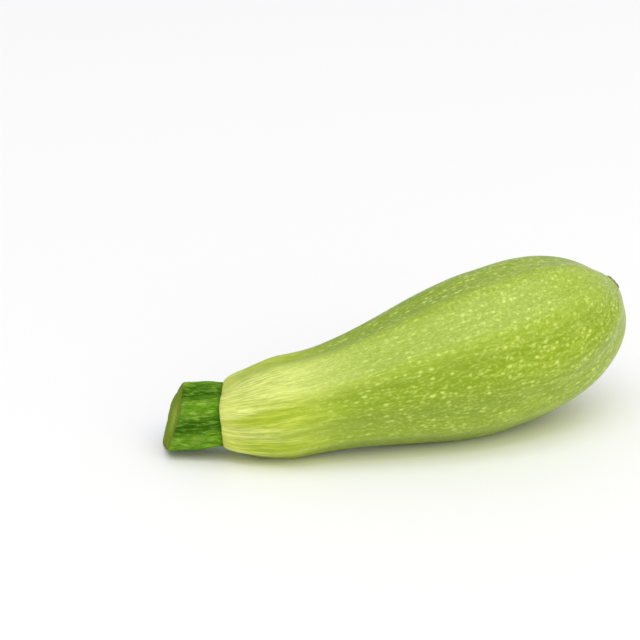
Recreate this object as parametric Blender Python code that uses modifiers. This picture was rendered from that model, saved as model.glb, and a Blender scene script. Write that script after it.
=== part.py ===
"""A pale green zucchini, as picked, lying on a level surface.

The fruit is a turned club: a slim neck swells into a full belly that closes in a round tip. Ten low
ribs run along it. Its centreline rises from neck to tip, and the neck bends to the far side. A
five-ridged stem, cut off at a slant, stands in a socket in the neck, and a corky scar from the
blossom sits in the tip.

Metres, +Z up, +X from the stem towards the blossom end. The origin is on the surface that the
zucchini lies on, under the middle of its bounding box.
"""

import math

import bmesh
import bpy
from mathutils import Matrix, Vector

# Fruit, from the stem's joint (0) to the tip
FRUIT_LENGTH = 0.160
NECK_RADIUS = 0.0186
BELLY_RADIUS = 0.0300
SWELL_START = 0.0288
SWELL_END = 0.1018
RIM_RADIUS = 0.0116
SHOULDER_LENGTH = 0.0226
SHOULDER_ROUNDNESS = 1.33
TIP_LENGTH = 0.0497
TIP_ROUNDNESS = 2.13
# The skin rises to the scar, as a low cone on the tip
CONE_HEIGHT = 0.0011
CONE_RADIUS = 0.0105
# The centreline's direction, in degrees, at even stations from the joint to the tip: its slope
# upwards, and its heading, which is positive to the far side
SLOPES = (5.5, 10.4, 6.9, 11.3, 35.5)
HEADINGS = (-31.3, 0.0, 0.0)

RIBS = 10
RIB_HEIGHT = 0.0005
FLAT_DEPTH = 0.0004

# Stem: mean radii, with five main ridges and finer ones on and between them
STEM_LENGTH = 0.0198
STEM_BASE_RADIUS = 0.0110
STEM_RADIUS = 0.0118
RIDGES = 5
RIDGE_RISE = 0.09
FINE_RIDGES = 15
FINE_RISE = 0.016
RIDGE_TWIST = 6.0
CUT_SLOPE_DOWN = 0.42
CUT_SLOPE_FAR = 0.25
CUT_ROUNDING = 0.0014
CUT_DISH = 0.0006
SOCKET_DEPTH = 0.0016

# Scar that the blossom left
SCAR_RADIUS = 0.0036
SCAR_HEIGHT = 0.0012
SCAR_DIMPLE = 0.0005
SCAR_WAVE = 0.07
SEAT_DEPTH = 0.0009

GAP = 0.0003
FRUIT_STEPS = 100
FRUIT_RINGS = 35
STEM_STEPS = 75
STEM_RINGS = 9
CUT_CORNER_STEPS = 3
SCAR_STEPS = 30
MERGE = 0.00001
SMOOTH_ANGLE = 40.0


def smooth_step(t):
    t = min(max(t, 0.0), 1.0)
    return t * t * (3 - 2 * t)


def round_end(t, roundness):
    """0 at t 0 and 1 from t 1 on, along a quarter of a superellipse."""
    left = 1 - min(max(t, 0.0), 1.0)
    return (1 - left**roundness) ** (1 / roundness)


def fruit_radius(along):
    swell = smooth_step((along - SWELL_START) / (SWELL_END - SWELL_START))
    club = NECK_RADIUS + (BELLY_RADIUS - NECK_RADIUS) * swell
    shoulder = round_end(along / SHOULDER_LENGTH, SHOULDER_ROUNDNESS)
    tip = round_end((FRUIT_LENGTH - along) / TIP_LENGTH, TIP_ROUNDNESS)
    return (RIM_RADIUS + (club - RIM_RADIUS) * shoulder) * tip


def cone_rise(radius):
    seat_radius = SCAR_RADIUS + GAP
    return CONE_HEIGHT * smooth_step((CONE_RADIUS - radius) / (CONE_RADIUS - seat_radius))


def angle_at(stations, along):
    """An angle in radians: the smooth curve through the stations, and straight on in the stem."""
    t = min(max(along / FRUIT_LENGTH, 0.0), 1.0)
    last = len(stations) - 1
    angle = 0.0
    for i, value in enumerate(stations):
        weight = 1.0
        for j in range(len(stations)):
            if j != i:
                weight *= (t * last - j) / (i - j)
        angle += value * weight
    return math.radians(angle)


def directions(along):
    """At a distance from the joint: the unit vectors down, to the far side, and along the fruit."""
    slope = angle_at(SLOPES, along)
    heading = angle_at(HEADINGS, along)
    level = Vector((math.cos(heading), math.sin(heading), 0.0))
    up = Vector((0.0, 0.0, 1.0))
    down = level * math.sin(slope) - up * math.cos(slope)
    return down, up.cross(level), level * math.cos(slope) + up * math.sin(slope)


def centreline(along, steps=40):
    """The centreline's point at a distance from the joint, by adding up short steps."""
    point = Vector((0.0, 0.0, 0.0))
    step = along / steps
    for k in range(steps):
        point += directions(step * (k + 0.5))[2] * step
    return point


def ridge_wave(turn):
    """The stem's section: five ridges, with a finer one on and between them. Its mean is 0."""
    fine = FINE_RISE * math.sin(FINE_RIDGES * turn)
    return RIDGE_RISE * math.sin(RIDGES * turn) - fine


def lay_down(standing):
    """A point of a piece that stands on the Z axis, stem's joint at 0, moved to the bent centreline.

    Its x points down, its y to the far side and its z along the fruit.
    """
    down, far, _ = directions(standing.z)
    return centreline(standing.z) + down * standing.x + far * standing.y


def turned(name, profile, steps):
    """A closed mesh object: a profile of (radius, height), from top to bottom, turned round Z."""
    mesh = bpy.data.meshes.new(name)
    points = [(radius, 0.0, height) for radius, height in profile]
    edges = [(k, k + 1) for k in range(len(points) - 1)]
    mesh.from_pydata(points, edges, [])
    outline = bpy.data.objects.new(name + "_outline", mesh)
    bpy.context.scene.collection.objects.link(outline)
    screw = outline.modifiers.new("Turn", "SCREW")
    screw.axis = "Z"
    screw.steps = steps
    screw.render_steps = steps
    screw.use_merge_vertices = True
    screw.merge_threshold = MERGE
    bpy.context.view_layer.update()
    graph = bpy.context.evaluated_depsgraph_get()
    body = bpy.data.meshes.new_from_object(outline.evaluated_get(graph))
    bpy.data.objects.remove(outline)
    return bpy.data.objects.new(name, body)


def reshape(obj, rule):
    """Moves each vertex to where the rule puts (turn, radius, height), then onto the centreline."""
    shape = bmesh.new()
    shape.from_mesh(obj.data)
    bmesh.ops.remove_doubles(shape, verts=shape.verts, dist=MERGE)
    for vertex in shape.verts:
        x, y, height = vertex.co
        turn = math.atan2(y, x)
        radius, height = rule(turn, math.hypot(x, y), height)
        vertex.co = lay_down(Vector((radius * math.cos(turn), radius * math.sin(turn), height)))
    bmesh.ops.recalc_face_normals(shape, faces=shape.faces)
    shape.to_mesh(obj.data)
    shape.free()


def make_fruit():
    seat_radius = SCAR_RADIUS + GAP
    socket_radius = STEM_BASE_RADIUS + GAP
    rings = [
        FRUIT_LENGTH * (1 + math.cos(math.pi * k / FRUIT_RINGS)) / 2 for k in range(1, FRUIT_RINGS)
    ]
    profile = [(0.0, FRUIT_LENGTH - SEAT_DEPTH), (seat_radius, FRUIT_LENGTH - SEAT_DEPTH)]
    profile += [(seat_radius, FRUIT_LENGTH)]
    profile += [(fruit_radius(along), along) for along in rings]
    profile += [(RIM_RADIUS, 0.0), (socket_radius, 0.0)]
    profile += [(socket_radius, SOCKET_DEPTH), (0.0, SOCKET_DEPTH)]
    fruit = turned("fruit", profile, FRUIT_STEPS)

    def rule(turn, radius, along):
        inside = radius <= socket_radius + MERGE and along <= SOCKET_DEPTH + MERGE
        to_shoulder = 0.0 if inside else along / SHOULDER_LENGTH
        lobed = radius * (1 + ridge_wave(turn) * (1 - smooth_step(to_shoulder * 2)))
        if inside:
            return lobed, along
        if along > FRUIT_LENGTH / 2:
            along += cone_rise(radius)
        if radius <= seat_radius + MERGE:
            return radius, along
        fade = min(1.0, radius / NECK_RADIUS) ** 2 * smooth_step(to_shoulder * 2)
        return lobed - RIB_HEIGHT * math.cos(RIBS * turn) * fade, along

    reshape(fruit, rule)
    return fruit


def make_stem():
    """Its top is the base in the socket, and its bottom the slanted cut."""
    base = SOCKET_DEPTH - GAP
    side_length = STEM_LENGTH - CUT_ROUNDING
    profile = [(0.0, base), (STEM_BASE_RADIUS, base)]
    for k in range(STEM_RINGS + 1):
        height = -side_length * k / STEM_RINGS
        swell = smooth_step(-height / (STEM_LENGTH / 2))
        profile.append((STEM_BASE_RADIUS + (STEM_RADIUS - STEM_BASE_RADIUS) * swell, height))
    for k in range(1, CUT_CORNER_STEPS + 1):
        angle = math.pi / 2 * k / CUT_CORNER_STEPS
        inset = CUT_ROUNDING * (1 - math.cos(angle))
        profile.append((STEM_RADIUS - inset, -side_length - CUT_ROUNDING * math.sin(angle)))
    profile.append((STEM_RADIUS * 0.62, -STEM_LENGTH))
    profile.append((STEM_RADIUS * 0.36, -STEM_LENGTH + CUT_DISH))
    profile.append((0.0, -STEM_LENGTH + CUT_DISH))
    stem = turned("stem", profile, STEM_STEPS)

    def rule(turn, radius, height):
        share = max(0.0, -height / STEM_LENGTH)
        ridged = radius * (1 + ridge_wave(turn - math.radians(RIDGE_TWIST) * share))
        slant = CUT_SLOPE_DOWN * math.cos(turn) + CUT_SLOPE_FAR * math.sin(turn)
        return ridged, height - share * ridged * slant

    reshape(stem, rule)
    return stem


def make_scar():
    base = FRUIT_LENGTH + CONE_HEIGHT - SEAT_DEPTH + GAP
    top = base + SCAR_HEIGHT
    profile = [(0.0, top - SCAR_DIMPLE), (SCAR_RADIUS * 0.3, top - SCAR_DIMPLE)]
    profile += [(SCAR_RADIUS * 0.55, top), (SCAR_RADIUS * 0.8, top - SCAR_HEIGHT * 0.1)]
    profile += [(SCAR_RADIUS * 0.96, top - SCAR_HEIGHT * 0.38), (SCAR_RADIUS, base), (0.0, base)]
    scar = turned("blossom_scar", profile, SCAR_STEPS)

    def rule(turn, radius, height):
        wave = SCAR_WAVE * (math.cos(RIDGES * turn) - 1) / 2
        return radius * (1 + wave), height

    reshape(scar, rule)
    return scar


def lowest(points):
    return min(points, key=lambda point: point.z)


def resting_turn(fruit):
    """The turn about Y that brings the lowest points of the neck and of the belly level."""
    turn = Matrix.Identity(4)
    for _ in range(12):
        points = [turn @ vertex.co for vertex in fruit.data.vertices]
        neck = lowest([point for point in points if point.x < SWELL_START])
        belly = lowest([point for point in points if point.x > SWELL_START * 2])
        angle = math.atan2(belly.z - neck.z, belly.x - neck.x)
        turn = Matrix.Rotation(angle, 4, "Y") @ turn
    return turn


def place(pieces):
    """Rests the pieces on z 0, the fruit's flats just under it, with their box centred on the origin."""
    turn = resting_turn(pieces[0])
    for piece in pieces:
        piece.data.transform(turn)
    points = [vertex.co for piece in pieces for vertex in piece.data.vertices]
    middle = [(min(p[k] for p in points) + max(p[k] for p in points)) / 2 for k in (0, 1)]
    drop = lowest(points).z + FLAT_DEPTH
    for piece in pieces:
        piece.data.transform(Matrix.Translation((-middle[0], -middle[1], -drop)))


def flatten_underside(fruit, cutters):
    """Cuts the fruit level where it lies, as small flats under the belly and the neck."""
    depth = 0.02
    bpy.ops.mesh.primitive_cube_add(size=1.0, location=(0.0, 0.0, -depth / 2))
    slab = bpy.context.object
    slab.name = "surface_cutter"
    slab.data.transform(Matrix.Diagonal((FRUIT_LENGTH * 2, FRUIT_LENGTH, depth, 1.0)))
    slab.hide_render = True
    slab.display_type = "WIRE"
    for collection in list(slab.users_collection):
        collection.objects.unlink(slab)
    cutters.objects.link(slab)
    cut = fruit.modifiers.new("Flats", "BOOLEAN")
    cut.operation = "DIFFERENCE"
    cut.object = slab


def finish(obj, colour, roughness):
    material = bpy.data.materials.new(obj.name)
    material.use_nodes = True
    shader = material.node_tree.nodes["Principled BSDF"]
    shader.inputs["Base Color"].default_value = (*colour, 1.0)
    shader.inputs["Roughness"].default_value = roughness
    shader.inputs["Metallic"].default_value = 0.0
    obj.data.materials.clear()
    obj.data.materials.append(material)
    obj.data.shade_smooth()
    obj.data.set_sharp_from_angle(angle=math.radians(SMOOTH_ANGLE))


def main():
    for obj in list(bpy.data.objects):
        bpy.data.objects.remove(obj, do_unlink=True)
    parts = bpy.data.collections.new("zucchini")
    cutters = bpy.data.collections.new("cutters")
    bpy.context.scene.collection.children.link(parts)
    bpy.context.scene.collection.children.link(cutters)
    fruit = make_fruit()
    stem = make_stem()
    scar = make_scar()
    for piece in (fruit, stem, scar):
        parts.objects.link(piece)
    place([fruit, stem, scar])
    flatten_underside(fruit, cutters)
    finish(fruit, (0.42, 0.52, 0.10), 0.38)
    finish(stem, (0.08, 0.22, 0.02), 0.5)
    finish(scar, (0.16, 0.12, 0.06), 0.85)


main()
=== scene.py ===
# Zucchini: the skin, the ribbed stem and the blossom scar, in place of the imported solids.
# Lengths in metres, and sizes in the colour patterns in millimetres.
import math

import bpy
from mathutils import Matrix, Vector


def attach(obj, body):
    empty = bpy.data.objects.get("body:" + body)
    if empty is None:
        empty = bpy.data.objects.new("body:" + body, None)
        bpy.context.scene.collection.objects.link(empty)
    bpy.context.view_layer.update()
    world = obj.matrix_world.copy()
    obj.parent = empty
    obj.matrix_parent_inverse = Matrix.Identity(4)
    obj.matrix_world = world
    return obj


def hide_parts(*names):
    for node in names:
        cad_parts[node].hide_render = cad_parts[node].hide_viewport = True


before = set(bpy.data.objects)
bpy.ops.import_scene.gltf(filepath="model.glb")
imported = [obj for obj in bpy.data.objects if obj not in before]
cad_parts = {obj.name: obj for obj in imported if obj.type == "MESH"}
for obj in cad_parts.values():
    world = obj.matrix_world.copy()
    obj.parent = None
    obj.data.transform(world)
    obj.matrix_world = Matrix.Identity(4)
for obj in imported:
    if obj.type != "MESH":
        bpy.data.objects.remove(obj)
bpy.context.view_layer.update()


# Sums in node trees, for geometry and for shaders

class Wire:
    # A number that runs through a node tree and can be added, multiplied and so on
    def __init__(self, tree, socket):
        self.tree = tree
        self.socket = socket

    def math(self, operation, *values):
        node = self.tree.nodes.new("ShaderNodeMath")
        node.operation = operation
        for value, socket in zip(values, node.inputs):
            plug(value, socket)
        return Wire(self.tree, node.outputs[0])

    def __add__(self, other):
        return self.math("ADD", self, other)

    def __radd__(self, other):
        return self.math("ADD", other, self)

    def __sub__(self, other):
        return self.math("SUBTRACT", self, other)

    def __rsub__(self, other):
        return self.math("SUBTRACT", other, self)

    def __mul__(self, other):
        return self.math("MULTIPLY", self, other)

    def __rmul__(self, other):
        return self.math("MULTIPLY", other, self)

    def __truediv__(self, other):
        return self.math("DIVIDE", self, other)

    def __rtruediv__(self, other):
        return self.math("DIVIDE", other, self)

    def __pow__(self, other):
        return self.math("POWER", self, other)


def plug(value, socket):
    if isinstance(value, Wire):
        value.tree.links.new(value.socket, socket)
    else:
        socket.default_value = value


def clamp(value):
    if isinstance(value, Wire):
        limited = value.math("ADD", value, 0.0)
        limited.socket.node.use_clamp = True
        return limited
    return min(max(value, 0.0), 1.0)


def smoothStep(value):
    t = clamp(value)
    return t * t * (3 - 2 * t)


def ramp(value, start, width):
    # Rises smoothly from 0 at the start to 1 a width further on
    return smoothStep((value - start) / width)


def roundEnd(value, roundness):
    left = 1 - clamp(value)
    return (1 - left ** roundness) ** (1 / roundness)


def sine(value):
    return value.math("SINE", value) if isinstance(value, Wire) else math.sin(value)


def cosine(value):
    return value.math("COSINE", value) if isinstance(value, Wire) else math.cos(value)


def above(value, limit):
    return value.math("GREATER_THAN", value, limit)


def addNode(tree, kind, values=None, **settings):
    node = tree.nodes.new(kind)
    for key, value in settings.items():
        setattr(node, key, value)
    for key, value in (values or {}).items():
        plug(value, node.inputs[key])
    return node


def vector(tree, x, y, z):
    node = addNode(tree, "ShaderNodeCombineXYZ", {"X": x, "Y": y, "Z": z})
    return Wire(tree, node.outputs[0])


def parts(tree, place):
    # The x, y and z of a vector
    node = addNode(tree, "ShaderNodeSeparateXYZ", {"Vector": place})
    return [Wire(tree, socket) for socket in node.outputs]


def noise(tree, place, detail=2.0):
    # From about -1 to 1, and 0 on average
    node = addNode(tree, "ShaderNodeTexNoise",
                   {"Vector": place, "Scale": 1.0, "Detail": detail, "Roughness": 0.5})
    return (Wire(tree, node.outputs[0]) - 0.5) * 2


# Geometry trees: a grid that a rule rolls up into a closed skin

def newTree(name, settings):
    tree = bpy.data.node_groups.new(name, "GeometryNodeTree")
    tree.interface.new_socket("Mesh", in_out="OUTPUT", socket_type="NodeSocketGeometry")
    for key, value in settings.items():
        kind = "NodeSocketInt" if isinstance(value, int) else "NodeSocketFloat"
        tree.interface.new_socket(key, in_out="INPUT", socket_type=kind)
    source = tree.nodes.new("NodeGroupInput")
    return tree, {key: Wire(tree, source.outputs[key]) for key in settings}


def gridOf(tree, size):
    # Rings of points round the axis: returns the mesh, and each point's column, turn and ring
    rings = size["Rings"]
    grid = addNode(tree, "GeometryNodeMeshGrid", {"Vertices X": size["Steps round"] + 1,
                                                  "Vertices Y": rings})
    index = Wire(tree, tree.nodes.new("GeometryNodeInputIndex").outputs[0])
    column = index.math("FLOOR", (index + 0.5) / rings)
    ring = index - column * rings
    turn = column / size["Steps round"] * math.tau
    return grid.outputs["Mesh"], column, turn, ring


def fromRing(ring, first):
    # 1 on that ring and all after it
    return above(ring, first - 0.5)


def endTree(tree, mesh, position, stored, material):
    shape = addNode(tree, "GeometryNodeSetPosition", {"Position": position})
    tree.links.new(mesh, shape.inputs["Geometry"])
    last = shape.outputs[0]
    for name, value in stored.items():
        store = addNode(tree, "GeometryNodeStoreNamedAttribute", {"Name": name, "Value": value},
                        data_type="FLOAT_VECTOR", domain="POINT")
        tree.links.new(last, store.inputs["Geometry"])
        last = store.outputs[0]
    # The merge closes the seam and the two poles
    for kind, values in (("GeometryNodeMergeByDistance", {"Distance": 0.000001}),
                         ("GeometryNodeSetShadeSmooth", {}),
                         ("GeometryNodeRealizeInstances", {}),
                         ("GeometryNodeSetMaterial", {"Material": material})):
        node = addNode(tree, kind, values)
        tree.links.new(last, node.inputs[0])
        last = node.outputs[0]
    finish = tree.nodes.new("NodeGroupOutput")
    tree.links.new(last, finish.inputs[0])


def grow(name, tree, settings, place=None):
    # Runs the tree on a new object and keeps the plain mesh
    obj = bpy.data.objects.new(name, bpy.data.meshes.new(name))
    bpy.context.scene.collection.objects.link(obj)
    modifier = obj.modifiers.new("Grow", "NODES")
    modifier.node_group = tree
    for item in tree.interface.items_tree:
        if item.in_out == "INPUT":
            modifier[item.identifier] = settings[item.name]
    graph = bpy.context.evaluated_depsgraph_get()
    mesh = bpy.data.meshes.new_from_object(obj.evaluated_get(graph))
    obj.modifiers.remove(modifier)
    if place:
        mesh.transform(place)
    obj.data = mesh
    print(name, "has", len(mesh.vertices), "points")
    return obj


# The fruit

fruitSettings = {
    "Steps round": 400,
    "Rings": 220,
    "Crowding at the ends": 0.7,
    "Length": 0.160,
    "Neck radius": 0.0186,
    "Belly radius": 0.0300,
    "Swell start": 0.0288,
    "Swell end": 0.1018,
    "Rim radius": 0.0116,
    "Socket radius": 0.0113,
    "Socket depth": 0.0016,
    "Shoulder length": 0.0226,
    "Shoulder roundness": 1.33,
    "Tip length": 0.0497,
    "Tip roundness": 2.13,
    "Cone height": 0.0011,
    "Cone radius": 0.0105,
    "Cone top radius": 0.0039,
    # The centreline's slope and its heading to the far side, in degrees, from the joint to the tip
    "Slope 1": 5.47,
    "Slope 2": 10.37,
    "Slope 3": 6.87,
    "Slope 4": 11.27,
    "Slope 5": 35.47,
    "Heading 1": -31.3,
    "Heading 2": 0.0,
    "Heading 3": 0.0,
    "Joint x": -0.06719,
    "Joint y": 0.01264,
    "Joint z": 0.01456,
    "Ribs": 10,
    "Rib height": 0.0005,
    "Lobe rise": 0.09,
    "Fine lobe rise": 0.016,
    "Neck lobe height": 0.0004,
    "Neck lobes end": 0.045,
    # Pleats and lumps are noise: how fine it is round the fruit and along it
    "Pleats round": 4.6,
    "Pleats along": 28.0,
    "Pleat height": 0.00035,
    "Pleats fade in": 0.006,
    "Pleats end": 0.055,
    "Lumps round": 1.3,
    "Lumps along": 42.0,
    "Lump height": 0.0003,
    "Softness where it lies": 0.0001,
    # The radius on which the colour pattern is laid, and the share of it left at the tip
    "Pattern radius": 30.0,
    "Pattern at the tip": 0.35,
    "Pattern rib turn": 3.14,
}


def angleAt(name, stations, along, size):
    # The smooth curve through the angles at even stations, in radians
    t = clamp(along / size["Length"]) * (stations - 1)
    angle = 0.0
    for i in range(stations):
        weight = size["%s %d" % (name, i + 1)]
        for j in range(stations):
            if j != i:
                weight = weight * ((t - j) / (i - j))
        angle = angle + weight
    return angle * (math.pi / 180)


def waysAt(along, size):
    # Down, to the far side, and along the fruit, each as x, y and z
    slope = angleAt("Slope", 5, along, size)
    heading = angleAt("Heading", 3, along, size)
    rise, run = sine(slope), cosine(slope)
    left, ahead = sine(heading), cosine(heading)
    return (rise * ahead, rise * left, run * -1), (left * -1, ahead, 0.0), (run * ahead, run * left, rise)


def tipRounding(along, size):
    return roundEnd((size["Length"] - along) / size["Tip length"], size["Tip roundness"])


def fruitRadius(along, size):
    swell = smoothStep((along - size["Swell start"]) / (size["Swell end"] - size["Swell start"]))
    club = size["Neck radius"] + (size["Belly radius"] - size["Neck radius"]) * swell
    shoulder = roundEnd(along / size["Shoulder length"], size["Shoulder roundness"])
    return (size["Rim radius"] + (club - size["Rim radius"]) * shoulder) * tipRounding(along, size)


def lobes(turn, size):
    # Five main lobes with three fine ones on each, shared by the neck and the stem
    return size["Lobe rise"] * sine(turn * 5) - size["Fine lobe rise"] * sine(turn * 15)


def fruitTree(settings, material):
    tree, size = newTree("Fruit", settings)
    mesh, column, turn, ring = gridOf(tree, size)
    # Ring 0 is the middle of the stem's seat, 1 its edge and 2 its lip, and the body starts at 3
    firstOfBody = 3

    def alongAt(number):
        share = clamp((number - firstOfBody) / (size["Rings"] - 1 - firstOfBody))
        crowd = size["Crowding at the ends"] / math.tau
        return size["Length"] * (share - crowd * sine(share * math.tau))

    along = alongAt(ring)
    before = alongAt(ring - 1)
    forward = waysAt((along + before) / 2, size)[2]

    def summed(part):
        # The sum over a column's rings up to this one
        total = addNode(tree, "GeometryNodeAccumulateField", {"Value": part, "Group ID": column})
        return Wire(tree, total.outputs["Leading"])

    centre = [size[start] + summed((along - before) * part)
              for start, part in zip(("Joint x", "Joint y", "Joint z"), forward)]

    body = fromRing(ring, firstOfBody)
    wall = fromRing(ring, 1) * (1 - body)
    sunk = (1 - fromRing(ring, 2)) * size["Socket depth"]
    near = smoothStep(along / size["Shoulder length"] * 2)
    lobe = lobes(turn, size)
    wave = 1 + lobe * (1 - near)
    smooth = fruitRadius(along, size) * wave
    full = clamp(smooth / size["Neck radius"])
    ribs = size["Rib height"] * cosine(turn * size["Ribs"]) * full * full * near

    around = cosine(turn)
    across = sine(turn)
    fine = size["Pleats round"]
    folds = noise(tree, vector(tree, around * fine, across * fine, along * size["Pleats along"]))
    fading = smoothStep(along / size["Pleats fade in"]) * (1 - smoothStep(along / size["Pleats end"]))
    fine = size["Lumps round"]
    lumps = noise(tree, vector(tree, around * fine, across * fine, along * size["Lumps along"]), 1.0)
    tail = near * (1 - smoothStep(along / size["Neck lobes end"])) * size["Neck lobe height"]
    radius = smooth - ribs + folds * fading * size["Pleat height"] + lumps * near * full * size["Lump height"]
    radius = radius + lobe / size["Lobe rise"] * tail
    cone = smoothStep((size["Cone radius"] - radius) / (size["Cone radius"] - size["Cone top radius"]))
    raised = cone * size["Cone height"] * above(along, size["Length"] / 2) + sunk
    radius = radius * body + size["Socket radius"] * wave * wall

    down, far, ahead = waysAt(along, size)
    x, y, z = (middle + radius * around * d + radius * across * f + raised * a
               for middle, d, f, a in zip(centre, down, far, ahead))
    soft = size["Softness where it lies"]
    place = vector(tree, x, y, (z + (z * z + soft * soft) ** 0.5) / 2)
    atTip = size["Pattern at the tip"]
    spread = size["Pattern radius"] * (atTip + (1 - atTip) * tipRounding(along, size))
    onSkin = vector(tree, around * spread, across * spread, along * 1000)
    onRib = vector(tree, sine(turn * size["Ribs"] + size["Pattern rib turn"]), around, across)
    endTree(tree, mesh, place, {"skinPlace": onSkin, "skinTone": onRib}, material)
    return tree


# The stem, which the tree makes standing, its joint at 0 and its cut below

stemSettings = {
    "Steps round": 300,
    "Rings": 100,
    "Face rings": 30,
    "Corner rings": 8,
    "Length": 0.0198,
    "Base depth": 0.0013,
    "Base radius": 0.0112,
    "Radius": 0.0118,
    "Cut rounding": 0.0010,
    "Cut dish": 0.0008,
    "Cut slope down": 0.42,
    "Cut slope far": 0.25,
    "Pith roughness": 0.00012,
    "Pith grains": 700.0,
    "Lobe rise": 0.09,
    "Fine lobe rise": 0.016,
    "Twist": 6.0,
    "Wrinkles round": 7.0,
    "Wrinkles along": 110.0,
    "Wrinkle height": 0.00045,
    "Fibres round": 20.0,
    "Fibres along": 160.0,
    "Fibre height": 0.00018,
}


def stemTree(settings, material):
    tree, size = newTree("Stem", settings)
    mesh, column, turn, ring = gridOf(tree, size)
    # From the middle of the cut out to its rounded corner, up the side, and closed at the last ring
    face = clamp(ring / size["Face rings"])
    corner = clamp((ring - size["Face rings"]) / size["Corner rings"])
    cutRings = size["Face rings"] + size["Corner rings"]
    side = clamp((ring - cutRings) / (size["Rings"] - 2 - cutRings))
    closed = fromRing(ring, size["Rings"] - 1)

    sideLength = size["Length"] - size["Cut rounding"]
    angle = corner * (math.pi / 2)
    height = (sideLength + size["Base depth"]) * side - sideLength - size["Cut rounding"] * cosine(angle)
    height = height + size["Cut dish"] * (1 - smoothStep(face * 1.25))
    share = clamp(height / size["Length"] * -1)
    swell = smoothStep(share * 2)
    radius = size["Base radius"] + (size["Radius"] - size["Base radius"]) * swell
    radius = (radius - size["Cut rounding"] * (1 - sine(angle))) * face * (1 - closed)

    twisted = turn - size["Twist"] * (math.pi / 180) * share
    wave = lobes(twisted, size)
    around = cosine(turn)
    across = sine(turn)

    def grooves(name, detail):
        fine = size[name + " round"]
        return noise(tree, vector(tree, around * fine, across * fine, height * size[name + " along"]), detail)

    rough = grooves("Wrinkles", 2.0) * size["Wrinkle height"] + grooves("Fibres", 1.0) * size["Fibre height"]
    rough = rough * face * face * (1 - closed) * smoothStep(share * 6 + 0.2)
    radius = radius * (1 + wave) + rough

    slant = size["Cut slope down"] * around + size["Cut slope far"] * across
    grain = size["Pith grains"]
    pith = noise(tree, vector(tree, radius * around * grain, radius * across * grain, 0.0), 3.0)
    height = height - share * radius * slant + pith * (1 - corner) * size["Pith roughness"]
    place = vector(tree, radius * around, radius * across, height)
    onStem = vector(tree, face * around * 12, face * across * 12, height * 1000)
    onRidge = vector(tree, 1 - corner, sine(twisted * 5 + 0.7), share)
    endTree(tree, mesh, place, {"stemPlace": onStem, "stemTone": onRidge}, material)
    return tree


# The scar, which the tree makes standing on the tip

scarSettings = {
    "Steps round": 96,
    "Rings": 40,
    "Wall rings": 10,
    "Radius": 0.0035,
    "Sunk": 0.0006,
    "Height": 0.0006,
    "Dimple": 0.0005,
    "Crumple": 0.0003,
    "Crumple grains": 1300.0,
    "Taper": 0.16,
    "Edge waver": 0.16,
}


def scarTree(settings, material):
    tree, size = newTree("Scar", settings)
    mesh, column, turn, ring = gridOf(tree, size)
    # From the middle underneath to the foot of the wall, up the wall and in to the middle of the top
    wall = clamp((ring - 1) / size["Wall rings"])
    top = clamp((ring - 1 - size["Wall rings"]) / (size["Rings"] - 2 - size["Wall rings"]))
    outward = fromRing(ring, 1)
    angle = wall * (math.pi / 2)
    around = cosine(turn)
    across = sine(turn)
    height = (size["Sunk"] + size["Height"]) * sine(angle) - size["Sunk"]
    height = height - size["Dimple"] * smoothStep((top - 0.25) * 1.6)
    radius = size["Radius"] * (1 - size["Taper"] * (1 - cosine(angle))) * (1 - top) * outward
    grain = size["Crumple grains"]
    crumple = noise(tree, vector(tree, radius * around * grain, radius * across * grain, height * 900), 4.0)
    edge = noise(tree, vector(tree, around * 1.7, across * 1.7, 3.0))
    radius = radius * (1 + edge * size["Edge waver"])
    height = height + crumple * size["Crumple"] * sine(angle)
    place = vector(tree, radius * around, radius * across, height)
    onScar = vector(tree, radius * around * 1000, radius * across * 1000, height * 1000)
    endTree(tree, mesh, place, {"scarPlace": onScar}, material)
    return tree


# Shader groups

def newGroup(name, inputs):
    tree = bpy.data.node_groups.new(name, "ShaderNodeTree")
    tree.interface.new_socket("Mask", in_out="OUTPUT", socket_type="NodeSocketFloat")
    tree.interface.new_socket("Place", in_out="INPUT", socket_type="NodeSocketVector")
    for key, value in inputs.items():
        socket = tree.interface.new_socket(key, in_out="INPUT", socket_type="NodeSocketFloat")
        socket.default_value = value
    source = tree.nodes.new("NodeGroupInput")
    return tree, {item: Wire(tree, source.outputs[item]) for item in ["Place", *inputs]}


def endGroup(tree, value):
    finish = tree.nodes.new("NodeGroupOutput")
    plug(value, finish.inputs[0])


def stretched(tree, place, width, stretch):
    x, y, z = parts(tree, place)
    return vector(tree, x / width, y / width, z / (width * stretch))


def makeStreaks():
    tree, size = newGroup("Streaks", {"Width": 1.0, "Stretch": 8.0, "From": 0.4, "To": 0.6,
                                      "Detail": 2.0, "Warp": 0.0})
    place = stretched(tree, size["Place"], size["Width"], size["Stretch"])
    node = addNode(tree, "ShaderNodeTexNoise",
                   {"Vector": place, "Scale": 1.0, "Detail": size["Detail"], "Roughness": 0.55,
                    "Distortion": size["Warp"]})
    level = Wire(tree, node.outputs[0])
    endGroup(tree, smoothStep((level - size["From"]) / (size["To"] - size["From"])))
    return tree


def makeFlecks():
    tree, size = newGroup("Flecks", {"Spacing": 3.0, "Stretch": 1.6, "Size": 0.3, "Softness": 0.1})
    place = stretched(tree, size["Place"], size["Spacing"], size["Stretch"])
    node = addNode(tree, "ShaderNodeTexVoronoi", {"Vector": place, "Scale": 1.0, "Randomness": 0.85})
    distance = Wire(tree, node.outputs["Distance"])
    chance = parts(tree, Wire(tree, node.outputs["Color"]))[0]
    reach = size["Size"] * (0.6 + 0.8 * chance)
    endGroup(tree, 1 - smoothStep((distance - reach) / size["Softness"] + 0.5))
    return tree


streakGroup = makeStreaks()
fleckGroup = makeFlecks()


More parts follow.
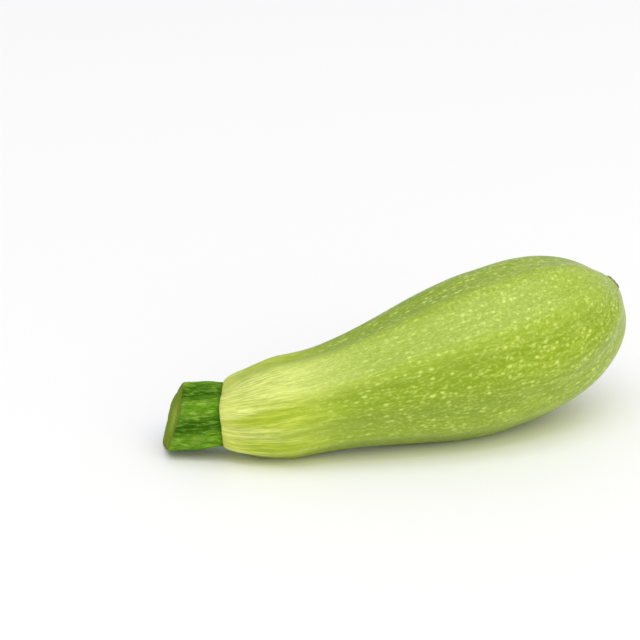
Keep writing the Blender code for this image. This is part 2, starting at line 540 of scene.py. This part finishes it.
def useGroup(tree, group, place, values):
    node = addNode(tree, "ShaderNodeGroup", node_tree=group)
    plug(place, node.inputs["Place"])
    for key, value in values.items():
        plug(value, node.inputs[key])
    return Wire(tree, node.outputs[0])


def streaks(tree, place, width, stretch, start, end, detail=1.0, warp=0.0):
    return useGroup(tree, streakGroup, place, {"Width": width, "Stretch": stretch, "From": start,
                                               "To": end, "Detail": detail, "Warp": warp})


def flecks(tree, place, spacing, stretch, size, softness):
    return useGroup(tree, fleckGroup, place, {"Spacing": spacing, "Stretch": stretch, "Size": size,
                                              "Softness": softness})


def attribute(tree, name):
    node = addNode(tree, "ShaderNodeAttribute", attribute_name=name)
    return Wire(tree, node.outputs["Vector"])


def tinted(tree, first, second, share):
    # The first colour with a share of the second in it
    node = addNode(tree, "ShaderNodeMix", data_type="RGBA")
    plug(share, node.inputs["Factor"])
    for value, socket in ((first, node.inputs[6]), (second, node.inputs[7])):
        plug(value if isinstance(value, Wire) else (*value, 1.0), socket)
    return Wire(tree, node.outputs[2])


def bumped(tree, height, distance):
    node = addNode(tree, "ShaderNodeBump", {"Height": height, "Distance": distance, "Strength": 1.0})
    return Wire(tree, node.outputs[0])


def newMaterial(name, **values):
    material = bpy.data.materials.new(name)
    material.use_nodes = True
    tree = material.node_tree
    shader = tree.nodes["Principled BSDF"]
    for key, value in values.items():
        shader.inputs[key.replace("_", " ")].default_value = value
    return material, tree, shader


# Skin

skinSettings = {
    "colours": {
        "deep": (0.185, 0.285, 0.006),
        "belly": (0.262, 0.364, 0.008),
        "pale": (0.375, 0.490, 0.065),
        "fleck": (0.555, 0.680, 0.160),
        "neckGreen": (0.375, 0.470, 0.020),
        "neck": (0.615, 0.700, 0.106),
        "cream": (0.790, 0.840, 0.300),
        "joint": (0.610, 0.680, 0.120),
        "warm": (0.620, 0.580, 0.085),
    },
    # Width, stretch along the fruit, and the noise levels where it starts and is full; then detail and warp
    "streaks": {
        "broad": (7.0, 6.0, 0.35, 0.65),
        "bellyRows": (1.5, 6.0, 0.38, 0.62),
        "neckRows": (2.3, 9.0, 0.38, 0.62),
        "folds": (9.0, 3.5, 0.30, 0.70),
        "dashes": (0.85, 1.9, 0.46, 0.70),
        "neckLines": (0.8, 7.0, 0.36, 0.64, 1.5, 0.8),
        "bellyGrain": (0.5, 2.0, 0.35, 0.65),
    },
    # Spacing, stretch along the fruit, size and softness
    "dots": (2.1, 1.35, 0.23, 0.28),
    # Where each place starts, measured from the joint, and how far it takes to change
    "neckEnd": (12, 48),
    "jointEnd": (1, 9),
    # Painted shade: the waist darker, away from the painted sheen
    "waistStart": (22, 25),
    "waistEnd": (75, 40),
    "creamEnd": (4, 26),
    "creamRing": (2, 8),
    # The same round the fruit, as shares of its radius
    # Painted sheen: a paler stripe on the side that faces up and toward the camera, where the top light falls
    "paintedSheen": (0.84, 0.14),
    # Painted shade: a darker, greener band along the top of the neck
    "paintedTopShade": (0.80, 0.18),
    # Painted bounce light: the lower half tinted paler, as lit from the floor
    "under": (0.05, 0.6),
    # How far up and how near the painted sheen faces
    "flankUp": 0.80,
    "flankNear": 0.60,
    # How strongly each tint covers what is under it
    "shares": {"broad": 0.30, "rows": 0.45, "neckRows": 0.8, "paintedTopShade": 0.6, "neck": 0.95, "paintedWaistShade": 0.62,
               "paintedSheen": 0.6, "under": 0.30, "grain": 0.50, "joint": 0.45},
    "fewerFlecksAtNeck": 0.7,
    "relief": 0.00008,
    "roughness": 0.28,
}


def makeSkin(settings):
    material, tree, shader = newMaterial("zucchiniSkin", Specular_IOR_Level=0.36, Subsurface_Weight=0.10,
                                         Subsurface_Scale=0.002, Subsurface_Radius=(1.0, 1.0, 0.3))
    colours, shares = settings["colours"], settings["shares"]
    place = attribute(tree, "skinPlace")
    along = parts(tree, place)[2]
    rib, around, across = parts(tree, attribute(tree, "skinTone"))
    streak = {name: streaks(tree, place, *values) for name, values in settings["streaks"].items()}
    dots = flecks(tree, place, *settings["dots"])

    atNeck = 1 - ramp(along, *settings["neckEnd"])
    atJoint = 1 - ramp(along, *settings["jointEnd"])
    # Painted shade along the waist
    paintedWaistShade = ramp(along, *settings["waistStart"]) * (1 - ramp(along, *settings["waistEnd"]))
    # The side that faces up and toward the camera, where the painted sheen lies
    towardTheLight = around * -settings["flankUp"] + across * -settings["flankNear"]
    paintedSheen = ramp(towardTheLight, *settings["paintedSheen"])
    # Painted shade on the top of the fruit
    paintedTopShade = ramp(around * -1, *settings["paintedTopShade"])
    # Painted bounce light on the lower half
    under = ramp(around, *settings["under"])
    # Cream lies on the ribs and folds of the neck and most round the joint; the extra cream toward the light
    # is a painted highlight
    creamAndSheen = rib * 0.4 + streak["folds"] * 0.8 + towardTheLight * 0.25 - 0.25
    creamAndSheen = smoothStep(creamAndSheen + 0.35 * (1 - ramp(along, *settings["creamRing"])))
    creamAndSheen = creamAndSheen * (1 - ramp(along, *settings["creamEnd"]))
    rows = streak["bellyRows"] + (streak["neckRows"] - streak["bellyRows"]) * atNeck
    grain = streak["bellyGrain"] + (streak["neckLines"] - streak["bellyGrain"]) * atNeck

    colour = tinted(tree, colours["belly"], colours["deep"], streak["broad"] * shares["broad"])
    colour = tinted(tree, colour, colours["deep"], (1 - streak["bellyRows"]) * shares["rows"])
    colour = tinted(tree, colour, colours["pale"], streak["bellyRows"] * shares["rows"])
    necked = tinted(tree, colours["neckGreen"], colours["neck"], rows * shares["neckRows"])
    necked = tinted(tree, necked, colours["cream"], creamAndSheen * (0.50 + 0.40 * rows))
    # Painted shade: the top of the neck tinted darker green
    necked = tinted(tree, necked, colours["neckGreen"], paintedTopShade * shares["paintedTopShade"])
    colour = tinted(tree, colour, necked, atNeck * shares["neck"])
    # Painted shade: the waist tinted deeper, except on the painted sheen
    colour = tinted(tree, colour, colours["deep"], paintedWaistShade * (1 - paintedSheen) * shares["paintedWaistShade"])
    # Painted sheen: the side toward the light tinted paler, creamier at the neck
    sheenColour = tinted(tree, colours["pale"], colours["cream"], atNeck)
    colour = tinted(tree, colour, sheenColour, paintedSheen * shares["paintedSheen"])
    # Painted bounce light: the lower half of the belly tinted paler
    colour = tinted(tree, colour, colours["pale"], under * (1 - atNeck) * shares["under"])
    colour = tinted(tree, colour, colours["deep"], (1 - grain) * shares["grain"])
    fewer = 1 - atNeck * settings["fewerFlecksAtNeck"]
    colour = tinted(tree, colour, colours["fleck"], streak["dashes"] * (0.15 + 0.25 * rows) * fewer)
    colour = tinted(tree, colour, colours["fleck"], dots * (0.42 + 0.36 * rows) * fewer)
    nearStem = tinted(tree, colours["warm"], colours["joint"], streak["neckRows"] * 0.7 + 0.3)
    colour = tinted(tree, colour, nearStem, atJoint * shares["joint"])
    plug(colour, shader.inputs["Base Color"])

    raised = grain * 0.4 + rows * 0.5 + dots * 0.3
    plug(bumped(tree, raised, settings["relief"]), shader.inputs["Normal"])
    plug(settings["roughness"] + grain * 0.08 - dots * 0.04, shader.inputs["Roughness"])
    return material


# Stem

stemFinish = {
    "colours": {
        "dark": (0.026, 0.100, 0.001),
        "green": (0.120, 0.290, 0.005),
        "light": (0.320, 0.490, 0.085),
        "rind": (0.190, 0.305, 0.008),
        "pith": (0.330, 0.440, 0.045),
        "brown": (0.150, 0.115, 0.008),
    },
    "streaks": {
        "lines": (1.3, 4.5, 0.36, 0.64, 1.5, 1.1),
        "fine": (0.7, 5.5, 0.36, 0.64, 1.5, 1.1),
        "patches": (3.2, 2.6, 0.40, 0.65, 1.5, 0.5),
    },
    # On the cut: where the rind and its brown edge start, as shares of the radius, and its brown spots
    "rind": (0.12, 0.55),
    "brownEdge": (0.88, 0.1),
    "spots": (1.6, 1.0, 0.2, 0.15),
    "relief": 0.0004,
    "roughness": 0.58,
}


def makeStem(settings):
    material, tree, shader = newMaterial("zucchiniStem", Specular_IOR_Level=0.06)
    colours = settings["colours"]
    place = attribute(tree, "stemPlace")
    onCut, ridge, share = parts(tree, attribute(tree, "stemTone"))
    x, y, height = parts(tree, place)
    lines, fine, patches = (streaks(tree, place, *values) for values in settings["streaks"].values())

    # Painted shade and light: the valleys between the ridges dark, the ridges green
    paintedRidgeLight = smoothStep(ridge * 0.5 + 0.5)
    colour = tinted(tree, colours["dark"], colours["green"], clamp(paintedRidgeLight * 0.7 + lines * 0.4))
    # Pale streaks on the wrinkles, partly real and partly painted highlight glints
    colour = tinted(tree, colour, colours["light"], lines * fine * 0.35)
    # Painted highlight: light patches on the ridges
    colour = tinted(tree, colour, colours["light"], paintedRidgeLight * patches * 0.5 * smoothStep(share * 1.5))
    colour = tinted(tree, colour, colours["dark"], (1 - fine) * 0.4)
    # Painted shade where the stem sits in the fruit's seat
    colour = tinted(tree, colour, colours["dark"], (1 - smoothStep(share * 8 + 0.2)) * 0.7)

    outward = (x * x + y * y) ** 0.5 / 12
    cut = tinted(tree, colours["pith"], colours["rind"], ramp(outward, *settings["rind"]))
    cut = tinted(tree, cut, colours["brown"], ramp(outward, *settings["brownEdge"]) * 0.4)
    cut = tinted(tree, cut, colours["brown"], flecks(tree, place, *settings["spots"]) * 0.3)
    colour = tinted(tree, colour, cut, smoothStep(onCut * 1.4 - 0.3))
    plug(colour, shader.inputs["Base Color"])
    plug(bumped(tree, lines * 0.5 + fine * 0.3, settings["relief"]), shader.inputs["Normal"])
    plug(settings["roughness"] + fine * 0.15 + onCut * 0.1, shader.inputs["Roughness"])
    return material


# Scar

scarFinish = {
    "colours": {
        "cork": (0.230, 0.235, 0.100),
        "dark": (0.090, 0.095, 0.040),
        "dry": (0.380, 0.380, 0.200),
    },
    "grains": (0.7, 1.0, 0.35, 0.3),
    "blotches": (1.9, 1.0, 0.4, 0.4),
    "relief": 0.0003,
    "roughness": 0.8,
}


def makeScar(settings):
    material, tree, shader = newMaterial("blossomScar")
    colours = settings["colours"]
    place = attribute(tree, "scarPlace")
    grains = flecks(tree, place, *settings["grains"])
    blotches = flecks(tree, place, *settings["blotches"])
    colour = tinted(tree, colours["cork"], colours["dark"], blotches * 0.7)
    colour = tinted(tree, colour, colours["dry"], grains * 0.5)
    plug(colour, shader.inputs["Base Color"])
    plug(bumped(tree, grains, settings["relief"]), shader.inputs["Normal"])
    plug(settings["roughness"] + grains * 0.1, shader.inputs["Roughness"])
    return material


def standingAt(along, size, steps=400):
    # Takes a piece that stands on 0 to its place along the fruit: its x down and its z along
    centre = Vector((size["Joint x"], size["Joint y"], size["Joint z"]))
    for number in range(steps):
        centre += Vector(waysAt(along * (number + 0.5) / steps, size)[2]) * (along / steps)
    return Matrix.Translation(centre) @ Matrix(waysAt(along, size)).transposed().to_4x4()


fruit = grow("zucchiniFruit", fruitTree(fruitSettings, makeSkin(skinSettings)), fruitSettings)
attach(fruit, "root")
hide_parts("fruit")

stem = grow("zucchiniStem", stemTree(stemSettings, makeStem(stemFinish)), stemSettings,
            standingAt(0.0, fruitSettings))
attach(stem, "root")
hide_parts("stem")

scar = grow("blossomScar", scarTree(scarSettings, makeScar(scarFinish)), scarSettings,
            standingAt(fruitSettings["Length"] + fruitSettings["Cone height"], fruitSettings))
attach(scar, "root")
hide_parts("blossom_scar")
print("zucchini ready")


# Floor, light and camera

studioSettings = {
    "floorSize": 12.0,
    "floorDrop": 0.00005,    # Keeps the floor just clear of the flat spots that the fruit lies on
    "floorColour": (0.868, 0.869, 0.894),
    "floorRoughness": 0.6,
    "skyColour": (1.0, 1.0, 1.0),
    "skyStrength": 0.60,
    "lightAim": (0.0, 0.0, 0.03),
    "lightDistance": 8.0,
    # Each light's azimuth from the camera's side and elevation in degrees, width, height, power and colour
    "lights": {
        "top": (-24.0, 79.0, 10.4, 5.1, 252.0, (0.95, 0.98, 1.26)),
        "front": (-16.0, 52.0, 8.0, 5.0, 145.0, (1.08, 1.02, 0.64)),
        "fill": (-26.0, 27.0, 9.6, 8.0, 290.0, (1.08, 1.02, 0.64)),
    },
    "reflected": "top",    # The only light that the skin mirrors, for one soft sheen
}
cameraSettings = {
    "aim": (-0.02025, 0.03276, 0.03747),
    "azimuth": 24.48,
    "elevation": 21.0,
    "distance": 0.9,
    "lens": 134.62,
}


def lookFromAround(obj, aim, azimuth, elevation, distance):
    # Puts the object where it looks at the aim from an azimuth (0 looks along +Y) and an elevation
    turn, lift = math.radians(azimuth), math.radians(elevation)
    away = Vector((-math.sin(turn) * math.cos(lift), -math.cos(turn) * math.cos(lift), math.sin(lift)))
    obj.location = Vector(aim) + away * distance
    obj.rotation_mode = "QUATERNION"
    obj.rotation_quaternion = away.to_track_quat("Z", "Y")
    bpy.context.scene.collection.objects.link(obj)


def makeFloor(settings):
    half = settings["floorSize"] / 2
    mesh = bpy.data.meshes.new("floor")
    corners = [(-half, -half), (half, -half), (half, half), (-half, half)]
    mesh.from_pydata([(x, y, -settings["floorDrop"]) for x, y in corners], [], [(0, 1, 2, 3)])
    floor = bpy.data.objects.new("floor", mesh)
    bpy.context.scene.collection.objects.link(floor)
    material, tree, shader = newMaterial("paleFloor", Roughness=settings["floorRoughness"],
                                         Base_Color=(*settings["floorColour"], 1.0))
    mesh.materials.append(material)


def makeLights(settings, cameraAzimuth):
    for name, (azimuth, elevation, width, height, power, colour) in settings["lights"].items():
        lamp = bpy.data.lights.new(name, "AREA")
        lamp.shape = "RECTANGLE"
        lamp.size = width
        lamp.size_y = height
        lamp.energy = power
        lamp.color = colour
        obj = bpy.data.objects.new(name, lamp)
        obj.visible_glossy = name == settings["reflected"]
        lookFromAround(obj, settings["lightAim"], cameraAzimuth + azimuth, elevation,
                       settings["lightDistance"])
    world = bpy.data.worlds.new("studio")
    world.use_nodes = True
    sky = world.node_tree.nodes["Background"]
    sky.inputs["Color"].default_value = (*settings["skyColour"], 1.0)
    sky.inputs["Strength"].default_value = settings["skyStrength"]
    bpy.context.scene.world = world


def makeCamera(settings):
    camera = bpy.data.objects.new("camera", bpy.data.cameras.new("camera"))
    camera.data.lens = settings["lens"]
    lookFromAround(camera, settings["aim"], settings["azimuth"], settings["elevation"],
                   settings["distance"])
    bpy.context.scene.camera = camera


makeFloor(studioSettings)
makeLights(studioSettings, cameraSettings["azimuth"])
makeCamera(cameraSettings)
bpy.context.scene.view_settings.view_transform = "Standard"
print("studio ready")
